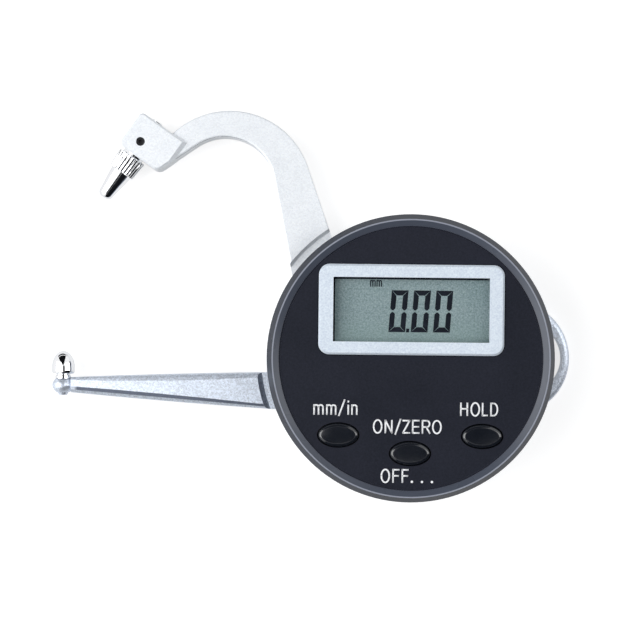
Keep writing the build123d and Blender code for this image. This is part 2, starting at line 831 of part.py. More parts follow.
with BuildPart() as jaw_arm:
    with BuildSketch(Plane.XY.offset(arm_back)) as arm_outline:
        with BuildLine():
            Line(hub_outer, root_outer)
            Line(root_outer, bend_start)
            bend(bend_start, bend_end, outer_bend_centre, outer_bend_radius)
            Line(bend_end, middle)
            Line(middle, toe)
            Line(toe, inner_start)
            bend(inner_start, inner_end, inner_bend_centre, inner_bend_radius)
            Line(inner_end, root_inner)
            Line(root_inner, hub_inner)
            Line(hub_inner, hub_outer)
        make_face()
        toe_corner = arm_outline.vertices().sort_by_distance((*toe, 0))[0]
        fillet(toe_corner, toe_rounding)
    extrude(amount=arm_thickness)
    long_edges = jaw_arm.edges().group_by(Axis.Z)[-1] + jaw_arm.edges().group_by(Axis.Z)[0]
    fillet([edge for edge in long_edges if edge.length > 3 * jaw_edge_rounding], jaw_edge_rounding)

    # Under the case the arm thins to a tab, in front and behind
    turned(
        (
            (0, tab_top),
            (jaw_step_radius, tab_top),
            (jaw_step_radius + jaw_step_width, arm_face),
            (jaw_step_radius + jaw_step_width, case_front),
            (0, case_front),
        ),
        mode=Mode.SUBTRACT,
    )
    back_step = frame_radius + tab_back_gap
    turned(
        (
            (0, tab_bottom),
            (back_step, tab_bottom),
            (back_step + frame_step_width, arm_back),
            (back_step + frame_step_width, -plate_thickness),
            (0, -plate_thickness),
        ),
        mode=Mode.SUBTRACT,
    )
    disc(tab_bottom, tab_top, hub_radius)
    flatted_disc(tab_bottom, tab_top, shaft_radius, shaft_flat, Mode.SUBTRACT)
    disc(seat_top, tab_top, washer_recess_radius, mode=Mode.SUBTRACT)

    # Block at the end of the arm, thicker than the arm, with a sloped shoulder towards it
    toe_exit = tip_plane.to_local_coords(Vector(*inner_start, tip_height))
    shoulder_end = block_right + shoulder_width
    toe_slope = (toe_exit.Y - block_start) / (toe_exit.X - block_foot)
    with BuildSketch(tip_plane.offset(-block_thickness / 2)) as block_outline:
        with BuildLine():
            Polyline(
                (block_left, block_start),
                (block_foot, block_start),
                (shoulder_end, block_start + toe_slope * (shoulder_end - block_foot)),
                (shoulder_end, block_end),
                (block_left, block_end),
                close=True,
            )
        make_face()
        for corner_x, corner_y, corner_radius in block_rounds:
            corner = block_outline.vertices().sort_by_distance((corner_x, corner_y, 0))[0]
            fillet(corner, corner_radius)
    extrude(amount=block_thickness)
    block_rims = jaw_arm.edges().group_by(Axis.Z)
    chamfer(block_rims[-1] + block_rims[0], block_edge)
    for side in (1, -1):
        with BuildSketch(across_plane):
            with BuildLine():
                Polyline(
                    (block_right, side * block_thickness / 2),
                    (shoulder_end, side * arm_thickness / 2),
                    (shoulder_end + shoulder_width, side * arm_thickness / 2),
                    (shoulder_end + shoulder_width, side * block_thickness),
                    (block_right, side * block_thickness),
                    close=True,
                )
            make_face()
        extrude(amount=-block_end, mode=Mode.SUBTRACT)
    # Bore of the tip's stem and hole of the set screw
    with BuildSketch(across_plane.offset(-block_start)):
        Circle(tip_stem_radius)
    extrude(amount=-block_length, mode=Mode.SUBTRACT)
    with BuildSketch(tip_plane.offset(tip_stem_radius - set_screw_bite)):
        with Locations((0, set_screw_station)):
            Circle(set_screw_radius)
    extrude(amount=block_thickness, mode=Mode.SUBTRACT)
finish_piece(jaw_arm, "jaw_arm")

# Jaw tip: rounded cone, fluted collar, and the stem that passes through the block
collar_end = tip_cone_length + collar_length
collar_lean = degrees(atan2(collar_radius - collar_front_radius, collar_length))
flute_planes = [
    Plane(
        across_plane.location
        * Rot(0, 0, 360 * number / flute_count)
        * Pos(collar_front_radius, 0, -tip_cone_length)
        * Rot(0, -collar_lean, 0)
    )
    for number in range(flute_count)
]
with BuildPart() as jaw_tip:
    with BuildSketch(tip_plane):
        with BuildLine():
            ThreePointArc(
                (tip_end_radius - tip_end_rounding, 0),
                (
                    tip_end_radius - tip_end_rounding * (1 - sin(radians(45))),
                    tip_end_rounding * (1 - cos(radians(45))),
                ),
                (tip_end_radius, tip_end_rounding),
            )
            Polyline(
                (tip_end_radius, tip_end_rounding),
                (tip_cone_radius, tip_cone_length),
                (collar_front_radius - collar_bevel, tip_cone_length),
                (collar_front_radius, tip_cone_length + collar_bevel),
                (collar_radius, collar_end - collar_bevel),
                (collar_radius - collar_bevel, collar_end),
                (collar_neck_radius, collar_end),
                (collar_neck_radius, block_start),
                (tip_stem_radius, block_start),
                (tip_stem_radius, block_end + tip_stem_proud - tip_stem_bevel),
                (tip_stem_radius - tip_stem_bevel, block_end + tip_stem_proud),
                (0, block_end + tip_stem_proud),
                (0, 0),
                (tip_end_radius - tip_end_rounding, 0),
            )
        make_face()
    revolve(axis=tip_axis)
    with BuildSketch(*flute_planes):
        RegularPolygon(flute_depth, 4)
    extrude(amount=-collar_length, mode=Mode.SUBTRACT)
finish_piece(jaw_tip, "jaw_tip")

with BuildPart() as tip_set_screw:
    set_screw_place = tip_plane.from_local_coords((0, set_screw_station))
    set_screw_top = tip_height + block_thickness / 2 - set_screw_recess
    place = (set_screw_place.X, set_screw_place.Y)
    disc(tip_height + tip_stem_radius, set_screw_top, set_screw_radius, [place])
    with BuildSketch(Plane.XY.offset(set_screw_top)):
        with Locations(place):
            RegularPolygon(set_screw_key / 2, 6, major_radius=False)
    extrude(amount=-set_screw_socket, mode=Mode.SUBTRACT)
finish_piece(tip_set_screw, "tip_set_screw")

# Coin cell with its smaller pole in front, and its two contacts under the board
cell_bottom = cap_head_top + cell_floor_gap
cell_top = cell_bottom + cell_height
with BuildPart() as coin_cell:
    disc(cell_bottom, cell_top - cell_pole_height, cell_radius, [cell_place])
    chamfer(coin_cell.edges(), cell_bevel)
    disc(cell_top - cell_pole_height, cell_top, cell_pole_radius, [cell_place])
finish_piece(coin_cell, "coin_cell")

side_plane = Plane(origin=(*cell_place, 0), x_dir=(1, 0, 0), z_dir=(0, -1, 0))
with BuildPart() as cell_spring:
    with BuildSketch(side_plane):
        with BuildLine():
            Polyline(
                (-spring_reach, board_back - leaf_thickness / 2),
                (-spring_reach / 2, board_back - leaf_thickness / 2),
                (-spring_pad, cell_top + leaf_thickness / 2),
                (spring_pad, cell_top + leaf_thickness / 2),
                (2 * spring_pad, cell_top + spring_pad),
            )
        trace(line_width=leaf_thickness)
    extrude(amount=leaf_width / 2, both=True)
finish_piece(cell_spring, "cell_spring")

with BuildPart() as cell_clip:
    clip_x = cell_radius + running_clearance + leaf_thickness / 2
    with BuildSketch(side_plane):
        with BuildLine():
            Polyline(
                (clip_x, groove_top + clip_foot_gap),
                (clip_x, board_back - leaf_thickness / 2),
                (clip_x + clip_foot, board_back - leaf_thickness / 2),
            )
        trace(line_width=leaf_thickness)
    extrude(amount=leaf_width / 2, both=True)
finish_piece(cell_clip, "cell_clip")

# Battery cap: two bayonet lugs on a skirt, a coin slot in the back
with BuildPart() as battery_cap:
    disc(cap_recess, cap_head_top, cap_radius, [cell_place])
    chamfer(battery_cap.edges().group_by(Axis.Z)[0], cap_bevel)
    disc(cap_head_top, lug_top, skirt_outer_radius, [cell_place])
    disc(cap_head_top, lug_top, skirt_inner_radius, [cell_place], Mode.SUBTRACT)
    for lug_angle in (90, 270):
        sector(
            lug_bottom,
            lug_top,
            skirt_inner_radius,
            lug_radius,
            lug_angle - lug_half_angle,
            lug_angle + lug_half_angle,
            cell_place,
        )
    with BuildSketch(Plane.XY.offset(cap_recess)):
        with Locations(cell_place):
            SlotOverall(coin_slot_length, coin_slot_width)
    extrude(amount=coin_slot_depth, mode=Mode.SUBTRACT)
finish_piece(battery_cap, "battery_cap")

# Screws: three through the casting into the case posts, four that hold the board
with BuildPart() as case_screws:
    head_front = screw_recess + screw_head_height
    disc(screw_recess, head_front, screw_head_radius, post_places)
    disc(head_front, screw_recess + screw_length, screw_radius, post_places)
    cross_recess(screw_recess, screw_recess + drive_depth, post_places)
finish_piece(case_screws, "case_screws")

with BuildPart() as board_screws:
    head_front = board_top + board_screw_head
    disc(board_top, head_front, board_screw_head_radius, standoff_places)
    disc(board_top - board_screw_length, board_top, board_screw_radius, standoff_places)
    cross_recess(head_front - board_drive_depth, head_front, standoff_places)
finish_piece(board_screws, "board_screws")
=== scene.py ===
# %% [markdown]
# # A digital caliper gauge, dressed and lit
#
# The gauge measures wall thickness: a straight arm with a small chrome anvil stands still, and a
# curved jaw swings about the middle of the round display case. Its shape comes from the CAD
# model, so this lesson leaves every solid where it is and works on what CAD can't show: paint,
# chrome, moulded plastic, printed words, and the digits in the display.

# %% Load the frame
import bpy
from contextlib import contextmanager
from math import cos, pi, radians, sin, tan
from mathutils import Matrix, Vector


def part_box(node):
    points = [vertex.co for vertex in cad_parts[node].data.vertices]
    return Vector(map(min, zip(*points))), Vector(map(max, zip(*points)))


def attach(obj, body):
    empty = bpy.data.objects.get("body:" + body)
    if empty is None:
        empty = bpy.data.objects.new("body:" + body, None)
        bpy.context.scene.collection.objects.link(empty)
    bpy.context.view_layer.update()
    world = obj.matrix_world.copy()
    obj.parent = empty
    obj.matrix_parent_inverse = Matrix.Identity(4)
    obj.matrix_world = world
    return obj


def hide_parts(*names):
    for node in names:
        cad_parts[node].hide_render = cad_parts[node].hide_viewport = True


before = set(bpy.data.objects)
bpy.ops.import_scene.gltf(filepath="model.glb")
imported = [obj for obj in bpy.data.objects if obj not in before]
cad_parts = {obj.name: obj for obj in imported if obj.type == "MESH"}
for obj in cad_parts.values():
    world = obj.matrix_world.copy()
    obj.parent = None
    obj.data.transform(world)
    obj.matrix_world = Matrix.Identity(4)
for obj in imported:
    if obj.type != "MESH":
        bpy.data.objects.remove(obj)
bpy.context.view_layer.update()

# %% [markdown]
# Blender counts in metres and the maker counts in millimetres. Two tiny helpers keep the
# numbers below readable: what is named in capitals is in millimetres or degrees, or is a count,
# and only the studio is laid out in metres. Heights that later pieces rest on are read from the
# solids themselves, so the printing stays on the face if the case ever gets thicker.

# %% Units and heights
MM = 0.001


def mm(*values):
    """Millimetres to a point in metres."""
    return Vector(value * MM for value in values)


def top_of(node):
    """Height of a solid's highest point, in millimetres."""
    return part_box(node)[1].z / MM


face_top = top_of("face_plate")
glass_top = top_of("lcd_panel")
print("face at", round(face_top, 2), "mm, display glass at", round(glass_top, 2), "mm")

# %% [markdown]
# ## The camera
#
# The photograph looks straight down on the gauge from about 40 cm. The lens follows from the
# size of the case in the picture and that distance. A lens shift isn't needed: the camera simply
# stands over the middle of the picture, turned by a little more than half a degree, as the gauge
# lay.

# %% Camera
def new_object(name, data):
    """An object made from its data and put into the scene."""
    thing = bpy.data.objects.new(name, data)
    bpy.context.scene.collection.objects.link(thing)
    return thing


camera_data = bpy.data.cameras.new("photo_camera")
camera_data.sensor_width = 36.0
camera_data.lens = 102.96
camera = new_object("photo_camera", camera_data)
camera.location = (-0.01911, 0.00784, 0.4)
camera.rotation_euler = (0.0, 0.0, radians(0.6))
bpy.context.scene.camera = camera
bpy.context.scene.view_settings.view_transform = "Standard"
print("camera at", tuple(round(c, 4) for c in camera.location), "lens", camera_data.lens)

# %% [markdown]
# ## Small helpers for node trees
#
# A material is a small network. Writing each node and each wire by hand hides the idea behind the
# typing, so one helper adds a node with its settings, and fills its sockets with plain values or
# with wires from other nodes.

# %% Node helpers
def add_node(tree, kind, sockets=None, **settings):
    """A new node of one kind. A socket takes a value, or a wire from another node's output."""
    node = tree.nodes.new(kind)
    for name, value in settings.items():
        setattr(node, name, value)
    for name, value in (sockets or {}).items():
        if isinstance(value, bpy.types.NodeSocket):
            tree.links.new(value, node.inputs[name])
        else:
            node.inputs[name].default_value = value
    return node


def empty_tree(owner):
    """The node tree of a material or a world, cleared."""
    owner.use_nodes = True
    owner.node_tree.nodes.clear()
    return owner.node_tree


def either(tree, first, second):
    """A mask that is 1 where one of two masks is."""
    return add_node(tree, "ShaderNodeMath", {0: first, 1: second}, operation="MAXIMUM").outputs[0]

# %% [markdown]
# ## The studio
#
# Product pictures of this kind are made on a white table under a white tent. The world is that
# tent. It is white to the camera, in reflections and through glass, and a little weaker as a
# light, because two soft boxes add theirs.

# %% World
def seen_mask(tree, path):
    """1 where the camera, a reflection or a window sees the sheet, and 0 for light on its way."""
    seen = either(tree, path.outputs["Is Camera Ray"], path.outputs["Is Glossy Ray"])
    return either(tree, seen, path.outputs["Is Transmission Ray"])


world = bpy.data.worlds.new("white_tent")
bpy.context.scene.world = world
tree = empty_tree(world)
light = add_node(tree, "ShaderNodeBackground", {"Color": (0.93, 0.96, 1.0, 1), "Strength": 0.7})
white = add_node(tree, "ShaderNodeBackground", {"Color": (1, 1, 1, 1), "Strength": 1.0})
tent = add_node(tree, "ShaderNodeMixShader", {
    "Fac": seen_mask(tree, add_node(tree, "ShaderNodeLightPath")),
    1: light.outputs[0], 2: white.outputs[0],
})
add_node(tree, "ShaderNodeOutputWorld", {"Surface": tent.outputs[0]})
print("tent light", light.inputs["Strength"].default_value)

# %% [markdown]
# The table is a large white sheet. Its material adds a glow where the camera or a reflection
# sees it, so it comes out white while the gauge still leaves a faint shadow. The glow is weaker
# in reflections, so the turned sides of bright metal stay a little darker than the page. From
# below it is clear, so that the back of the gauge can be looked at. It cuts the gauge a
# twentieth of a millimetre above its back, which leaves the back face open to the light.

# %% Table
TABLE_HEIGHT = 0.05


def added(tool, **settings):
    """What an add tool makes, with everything else deselected first."""
    bpy.ops.object.select_all(action="DESELECT")
    tool(**settings)
    bpy.ops.object.transform_apply(location=True, rotation=True, scale=True)
    return bpy.context.object


def table_paper(plain, glow_seen, glow_mirrored):
    """White paper: plain paper to the light, glowing to the eye, clear from below."""
    material = bpy.data.materials.new("table_paper")
    tree = empty_tree(material)
    path = add_node(tree, "ShaderNodeLightPath")
    strength = add_node(tree, "ShaderNodeMapRange", {
        "Value": path.outputs["Is Camera Ray"], "To Min": glow_mirrored, "To Max": glow_seen,
    })
    paper = add_node(tree, "ShaderNodeBsdfDiffuse", {"Color": (plain, plain, plain, 1)})
    glow = add_node(tree, "ShaderNodeEmission", {"Strength": strength.outputs["Result"]})
    both = add_node(tree, "ShaderNodeAddShader", {0: paper.outputs[0], 1: glow.outputs[0]})
    above = add_node(tree, "ShaderNodeMixShader", {
        "Fac": seen_mask(tree, path), 1: paper.outputs[0], 2: both.outputs[0],
    })
    side = add_node(tree, "ShaderNodeNewGeometry")
    clear = add_node(tree, "ShaderNodeBsdfTransparent")
    sheet = add_node(tree, "ShaderNodeMixShader", {
        "Fac": side.outputs["Backfacing"], 1: above.outputs[0], 2: clear.outputs[0],
    })
    add_node(tree, "ShaderNodeOutputMaterial", {"Surface": sheet.outputs[0]})
    return material


table = added(
    bpy.ops.mesh.primitive_circle_add, vertices=64, radius=3.0, fill_type="NGON",
    location=mm(0, 0, TABLE_HEIGHT),
)
table.name = "white_table"
table.data.materials.append(table_paper(plain=0.45, glow_seen=0.75, glow_mirrored=0.5))
print("table", [round(size, 2) for size in table.dimensions])

# %% [markdown]
# Two soft boxes stand left and right, halfway up. The left one is the stronger, because in the
# photograph the slope inside the rim is brighter on the right, and that side faces left.
# Blender's area lamp takes watts, and a soft box is easier to think of by how bright its sheet
# looks, where 1 is white paper, so the helper turns that brightness into watts.

# %% Soft boxes
def soft_box(name, place, size, brightness):
    """A rectangular soft light that faces the gauge."""
    data = bpy.data.lights.new(name, "AREA")
    data.shape = "RECTANGLE"
    data.size, data.size_y = size
    data.energy = brightness * pi * size[0] * size[1]
    lamp = new_object(name, data)
    lamp.location = place
    lamp.rotation_euler = (-Vector(place)).to_track_quat("-Z", "Y").to_euler()
    print(name, "gives", round(data.energy, 2), "W")


soft_box("soft_box_left", (-0.57, 0.0, 0.57), (0.70, 0.72), 3.15)
soft_box("soft_box_right", (0.57, 0.0, 0.57), (0.62, 0.72), 2.1)

# %% [markdown]
# Bright metal in an all-white tent has nothing dark to mirror, and it looks like paper. A studio
# puts black cards just outside the picture. One stands behind the gauge and one in front of it,
# both leaning over it, and each has a low one near the table, for the steep sides of the metal.
# A round card surrounds the lens: it keeps the flat window, the face and the keys from mirroring
# the white tent. A smaller round one beside it widens the dark band on the cone. The camera
# doesn't see the cards. Only reflections and the light do.

# %% Black card
black_card = bpy.data.materials.new("card_black")
tree = empty_tree(black_card)
matt = add_node(tree, "ShaderNodeBsdfDiffuse", {"Color": (0.012, 0.013, 0.016, 1)})
add_node(tree, "ShaderNodeOutputMaterial", {"Surface": matt.outputs[0]})


def stand(sheet, name):
    """Makes a sheet a black card of the studio."""
    sheet.name = name
    sheet.data.materials.append(black_card)
    sheet.visible_camera = False
    print(name, [round(size, 2) for size in sheet.dimensions])

# %% [markdown]
# A leaning card is a plane whose lower and upper edge are made as wide as the card must be there,
# and which is then stood up between its foot and its head. The directions were found from the
# photograph: a dark patch on the chrome says which way its card has to lie.

# %% Cards round the gauge
LENS_CARDS_AT = 0.45


def leaning_card(name, direction, foot, head, spread):
    """A card in one direction round the gauge, from its foot up to its head.

    Foot and head are distance and height. The card is as wide as a spread angle needs.
    """
    towards = Vector((cos(radians(direction)), sin(radians(direction)), 0))
    low = towards * foot[0] + Vector((0, 0, foot[1]))
    high = towards * head[0] + Vector((0, 0, head[1]))
    up = high - low
    across = up.cross(towards).normalized()
    sheet = added(bpy.ops.mesh.primitive_plane_add, size=2)
    for corner in sheet.data.vertices:
        corner.co.x *= tan(radians(spread)) * (foot[0] if corner.co.y < 0 else head[0])
    place = Matrix((across, up / 2, across.cross(up).normalized())).transposed().to_4x4()
    place.translation = (low + high) / 2
    sheet.data.transform(place)
    stand(sheet, name)


def round_card(name, radius, east, north):
    """A level round card just above the lens, so far east and north of it."""
    card = added(
        bpy.ops.mesh.primitive_circle_add, vertices=48, radius=radius, fill_type="NGON",
        location=(camera.location.x + east, camera.location.y + north, LENS_CARDS_AT),
    )
    stand(card, name)


leaning_card("card_behind", 103, foot=(0.60, 0.22), head=(0.14, 0.72), spread=36)
leaning_card("card_behind_low", 103, foot=(0.64, -0.02), head=(0.62, 0.16), spread=36)
leaning_card("card_front", 298, foot=(0.62, 0.0), head=(0.24, 0.70), spread=56)
leaning_card("card_front_low", 240, foot=(0.64, -0.02), head=(0.62, 0.14), spread=14)
round_card("lens_card", 0.095, 0.058, -0.025)
round_card("side_card", 0.060, -0.050, -0.118)

# %% [markdown]
# ## One grain for every finish
#
# Cast paint, moulded plastic, rubber, steel and printed board all vary a little at two sizes:
# a fine grain that one feels, and slow patches that one sees when the piece is turned. That is
# one effect with other numbers, so it is built once as a node group and placed in each
# material. The group only hands out a colour, a roughness and a height. The shader stays in the
# material.

# %% Grain group
def build_grain():
    """Node group: two colours mixed by fine grain and slow patches, with roughness and height."""
    group = bpy.data.node_groups.new("grain", "ShaderNodeTree")
    socket = group.interface.new_socket
    for name, kind, value in (
        ("Colour", "NodeSocketColor", (0.5, 0.5, 0.5, 1)),
        ("Second Colour", "NodeSocketColor", (0.4, 0.4, 0.4, 1)),
        ("Grains per Metre", "NodeSocketFloat", 4000.0),
        ("Patches per Metre", "NodeSocketFloat", 150.0),
        ("Patch Share", "NodeSocketFloat", 0.3),
        ("Roughness Low", "NodeSocketFloat", 0.3),
        ("Roughness High", "NodeSocketFloat", 0.5),
    ):
        socket(name=name, in_out="INPUT", socket_type=kind).default_value = value
    socket(name="Colour", in_out="OUTPUT", socket_type="NodeSocketColor")
    socket(name="Roughness", in_out="OUTPUT", socket_type="NodeSocketFloat")
    socket(name="Height", in_out="OUTPUT", socket_type="NodeSocketFloat")
    given = add_node(group, "NodeGroupInput").outputs
    place = add_node(group, "ShaderNodeTexCoord").outputs["Object"]
    grain = add_node(group, "ShaderNodeTexNoise", {
        "Vector": place, "Scale": given["Grains per Metre"], "Detail": 3.0, "Roughness": 0.6,
    }).outputs["Fac"]
    patch = add_node(group, "ShaderNodeTexNoise", {
        "Vector": place, "Scale": given["Patches per Metre"], "Detail": 2.0,
    }).outputs["Fac"]
    blend = add_node(group, "ShaderNodeMix", {
        "Factor": given["Patch Share"], "A": grain, "B": patch,
    }, data_type="FLOAT")
    spread = add_node(group, "ShaderNodeMapRange", {
        "Value": blend.outputs["Result"], "From Min": 0.32, "From Max": 0.68,
    })
    colours = add_node(group, "ShaderNodeMix", {
        "Factor": spread.outputs["Result"], "A": given["Colour"], "B": given["Second Colour"],
    }, data_type="RGBA")
    rough = add_node(group, "ShaderNodeMapRange", {
        "Value": patch, "From Min": 0.3, "From Max": 0.7,
        "To Min": given["Roughness Low"], "To Max": given["Roughness High"],
    })
    add_node(group, "NodeGroupOutput", {
        "Colour": colours.outputs["Result"], "Roughness": rough.outputs["Result"], "Height": grain,
    })
    return group


grain_group = build_grain()
print("grain group with", len(grain_group.nodes), "nodes")

# %% [markdown]
# Every finish below starts the same way: a Principled shader, the grain group, and a bump
# whose depth is given in millimetres. What makes it chrome, paint or rubber is the handful of
# numbers that follow. A number that is the same all over goes straight on the shader's socket.
# Some solids need no more than that, so a second helper makes their finish and puts it on.

# %% Finish helper
def raise_skin(tree, shader, height, strength, depth):
    """Lets a shader look raised by a height value, over a depth in millimetres."""
    relief = add_node(tree, "ShaderNodeBump", {
        "Height": height, "Strength": strength, "Distance": depth * MM,
    })
    tree.links.new(relief.outputs["Normal"], shader.inputs["Normal"])


def finish(name, colour, second, roughness, grains=4000, patches=150, share=0.3, bump=0.0,
           depth=0.01, **sockets):
    """A material from the grain group. Returns it, its tree, its grain and its shader."""
    material = bpy.data.materials.new(name)
    tree = empty_tree(material)
    grain = add_node(tree, "ShaderNodeGroup", {
        "Colour": (*colour, 1), "Second Colour": (*second, 1), "Grains per Metre": grains,
        "Patches per Metre": patches, "Patch Share": share,
        "Roughness Low": roughness[0], "Roughness High": roughness[1],
    }, node_tree=grain_group).outputs
    shader = add_node(tree, "ShaderNodeBsdfPrincipled", {
        "Base Color": grain["Colour"], "Roughness": grain["Roughness"],
        **{socket.replace("_", " "): value for socket, value in sockets.items()},
    })
    if bump:
        raise_skin(tree, shader, grain["Height"], bump, depth)
    add_node(tree, "ShaderNodeOutputMaterial", {"Surface": shader.outputs[0]})
    return material, tree, grain, shader


def dress(material, *nodes):
    """Gives a finish to CAD solids, by their material slots."""
    for node in nodes:
        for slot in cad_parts[node].material_slots:
            slot.material = material
    print(material.name, "on", ", ".join(nodes))


def plain_finish(nodes, *look, **settings):
    """A finish with nothing added to it, put on its solids at once."""
    material = finish(*look, **settings)[0]
    dress(material, *nodes)
    return material

# %% [markdown]
# ## Masks
#
# Some finishes change from place to place. A mask is a value from 0 to 1 that says where. These
# helpers read a place on the piece, fade a value in between two measures in millimetres, and mix
# a second colour over the first where the mask is 1.

# %% Mask helpers
def along(tree, axis):
    """The place on the piece along one axis, in metres."""
    place = add_node(tree, "ShaderNodeTexCoord")
    return add_node(tree, "ShaderNodeSeparateXYZ", {0: place.outputs["Object"]}).outputs[axis]


def fade(tree, value, start, full, most=1.0):
    """A mask that grows from 0 at one measure to its most at another."""
    return add_node(tree, "ShaderNodeMapRange", {
        "Value": value, "From Min": start * MM, "From Max": full * MM, "To Max": most,
    }).outputs["Result"]


def paint_over(tree, shader, under, mask, colour):
    """Mixes a colour over another one by a mask, for the shader. Returns the new colour."""
    over = add_node(tree, "ShaderNodeMix", {
        "Factor": mask, "A": under, "B": (*colour, 1),
    }, data_type="RGBA").outputs["Result"]
    tree.links.new(over, shader.inputs["Base Color"])
    return over

# %% [markdown]
# ## Silver paint
#
# Both arms are castings under a silver hammer paint. Close up it is a field of pale flecks a
# quarter of a millimetre wide. Cells of a Voronoi pattern make such flecks: each cell gets one
# random value, which tints it, and it is raised like a small cushion. The straight arm shows the
# flecks plainly. The curved arm is smoother and a little warmer, so the same function makes both.
#
# Edges and slopes are given painted shade, a darker grey in the colour, strongest on one side of
# each arm. The mask for this reads the tilt of the piece's own surface, between flat faces and
# upright walls. It stops where the straight arm ends, so the round eye and the loop get none.

# %% Silver paint
ARM_MIDDLE, ARM_REACH, ARM_FADE = -50.5, 20.7, 0.7
FLECK_DEPTH, FLECKS_PER_METRE = 0.05, 3800.0


def painted_edge_shade(tree, edge, shaded_side):
    """The mask of painted shade: four tilts between which it shows, and the darker side."""
    normal = add_node(tree, "ShaderNodeTexCoord").outputs["Normal"]
    up = add_node(tree, "ShaderNodeSeparateXYZ", {"Vector": normal}).outputs["Z"]
    level = add_node(tree, "ShaderNodeMath", {0: up}, operation="ABSOLUTE")
    slope = add_node(tree, "ShaderNodeValToRGB", {"Fac": level.outputs[0]})
    for number, position in ((0, edge[0]), (1, edge[3])):
        slope.color_ramp.elements[number].position = position
        slope.color_ramp.elements[number].color = (0, 0, 0, 1)
    for position in edge[1:3]:
        slope.color_ramp.elements.new(position).color = (1, 1, 1, 1)
    facing_shade = add_node(tree, "ShaderNodeVectorMath", {0: normal, 1: (*shaded_side, 0)},
                    operation="DOT_PRODUCT")
    share = add_node(tree, "ShaderNodeMapRange", {
        "Value": facing_shade.outputs["Value"], "From Min": -0.1, "From Max": 0.3, "To Min": 0.08,
    })
    shift = add_node(tree, "ShaderNodeMath", {0: along(tree, "X"), 1: -ARM_MIDDLE * MM},
                     operation="ADD")
    reach = add_node(tree, "ShaderNodeMath", {0: shift.outputs[0]}, operation="ABSOLUTE")
    mask = slope.outputs["Color"]
    for part in (share.outputs["Result"],
                 fade(tree, reach.outputs[0], ARM_REACH + ARM_FADE, ARM_REACH)):
        both = add_node(tree, "ShaderNodeMath", {0: mask, 1: part}, operation="MULTIPLY")
        mask = both.outputs[0]
    return mask


def hammer_paint(name, colour, second, metal, contrast, lift, edge_shade_colour, edge, shaded_side):
    """Silver paint with flecks of a chosen contrast, and painted shade on edges and on one side.
    """
    paint, tree, grain, shader = finish(
        name, colour, second, (0.34, 0.46), grains=3600, patches=260, share=0.15, Metallic=metal,
    )
    flecks = add_node(tree, "ShaderNodeTexVoronoi", {
        "Vector": add_node(tree, "ShaderNodeTexCoord").outputs["Object"],
        "Scale": FLECKS_PER_METRE,
    })
    value = add_node(tree, "ShaderNodeSeparateColor", {"Color": flecks.outputs["Color"]})
    tint = add_node(tree, "ShaderNodeMapRange", {
        "Value": value.outputs["Red"], "To Min": 1.0 - contrast, "To Max": 1.0 + contrast / 2,
    })
    flecked = add_node(tree, "ShaderNodeVectorMath", {
        "Vector": grain["Colour"], "Scale": tint.outputs["Result"],
    }, operation="SCALE")
    # painted shade: edges, slopes and one side are darkened in the colour
    mask = painted_edge_shade(tree, edge, shaded_side)
    paint_over(tree, shader, flecked.outputs["Vector"], mask, edge_shade_colour)
    raise_skin(tree, shader, flecks.outputs["Distance"], lift, FLECK_DEPTH)
    return paint


# Silver paint on both arms, with painted shade on edges, slopes and one side.
dress(hammer_paint(
    "silver_paint", (0.69, 0.76, 0.87), (0.77, 0.83, 0.93), metal=0.7, contrast=0.25, lift=0.6,
    edge_shade_colour=(0.10, 0.12, 0.17), edge=(0.76, 0.9, 0.976, 0.996), shaded_side=(0, -1),
), "frame_casting")
dress(hammer_paint(
    "silver_paint_smooth", (0.90, 0.94, 0.99), (0.96, 0.98, 1.0), metal=0.2, contrast=0.08,
    lift=0.22, edge_shade_colour=(0.12, 0.14, 0.19), edge=(0.02, 0.1, 0.4, 0.5), shaded_side=(0.82, -0.57),
), "jaw_arm")

# %% [markdown]
# ## Bright metal
#
# The two tips are turned, polished and chromed. Chrome is a mirror, so its look comes from the
# cards and the tent. A trace of roughness variation keeps it from looking like glass. The
# small parts inside are plain steel, brass and blackened steel: same helper, other numbers.

# %% Chrome, steel and brass
chrome = plain_finish(
    ["anvil_tip", "jaw_tip"], "chrome_tip", (0.86, 0.87, 0.89), (0.91, 0.92, 0.93), (0.03, 0.09),
    grains=2500, patches=300, share=0.5, bump=0.04, Metallic=1.0,
)
plain_finish(
    ["tip_set_screw"], "black_steel", (0.020, 0.021, 0.024), (0.035, 0.036, 0.040), (0.22, 0.36),
    grains=5000, bump=0.2, Metallic=0.6,
)
plain_finish(
    ["pivot_shaft"], "plain_steel", (0.52, 0.53, 0.55), (0.60, 0.61, 0.62), (0.22, 0.34),
    grains=6000, bump=0.15, Metallic=1.0,
)
plain_finish(
    ["rotor_screw", "case_screws", "board_screws"], "screw_steel",
    (0.58, 0.59, 0.60), (0.68, 0.69, 0.70), (0.18, 0.30), grains=5000, bump=0.12, Metallic=1.0,
)
plain_finish(
    ["snap_domes", "spring_washer", "cell_spring", "cell_clip"], "spring_steel",
    (0.62, 0.61, 0.58), (0.70, 0.69, 0.66), (0.20, 0.30), grains=7000, bump=0.1, Metallic=1.0,
)
plain_finish(
    ["coin_cell"], "cell_steel", (0.66, 0.66, 0.66), (0.74, 0.74, 0.73), (0.16, 0.28),
    grains=5000, bump=0.08, Metallic=1.0,
)
plain_finish(
    ["rear_bush", "front_bush"], "bush_brass", (0.62, 0.45, 0.19), (0.72, 0.54, 0.26),
    (0.25, 0.40), grains=6000, bump=0.15, Metallic=1.0,
)

# %% [markdown]
# ## The black case
#
# The case is moulded in a black plastic that the mould leaves satin. The slope inside the rim is
# painted paler, as sheen, and the very crest of the rim gets a painted highlight: one mask on the
# distance from the middle and one on the height above the back pick them out.

# %% Case
SLOPE_EDGE, SLOPE_FADE = 28.9, 0.12
CREST_START, CREST_FULL = 0.02, 0.005

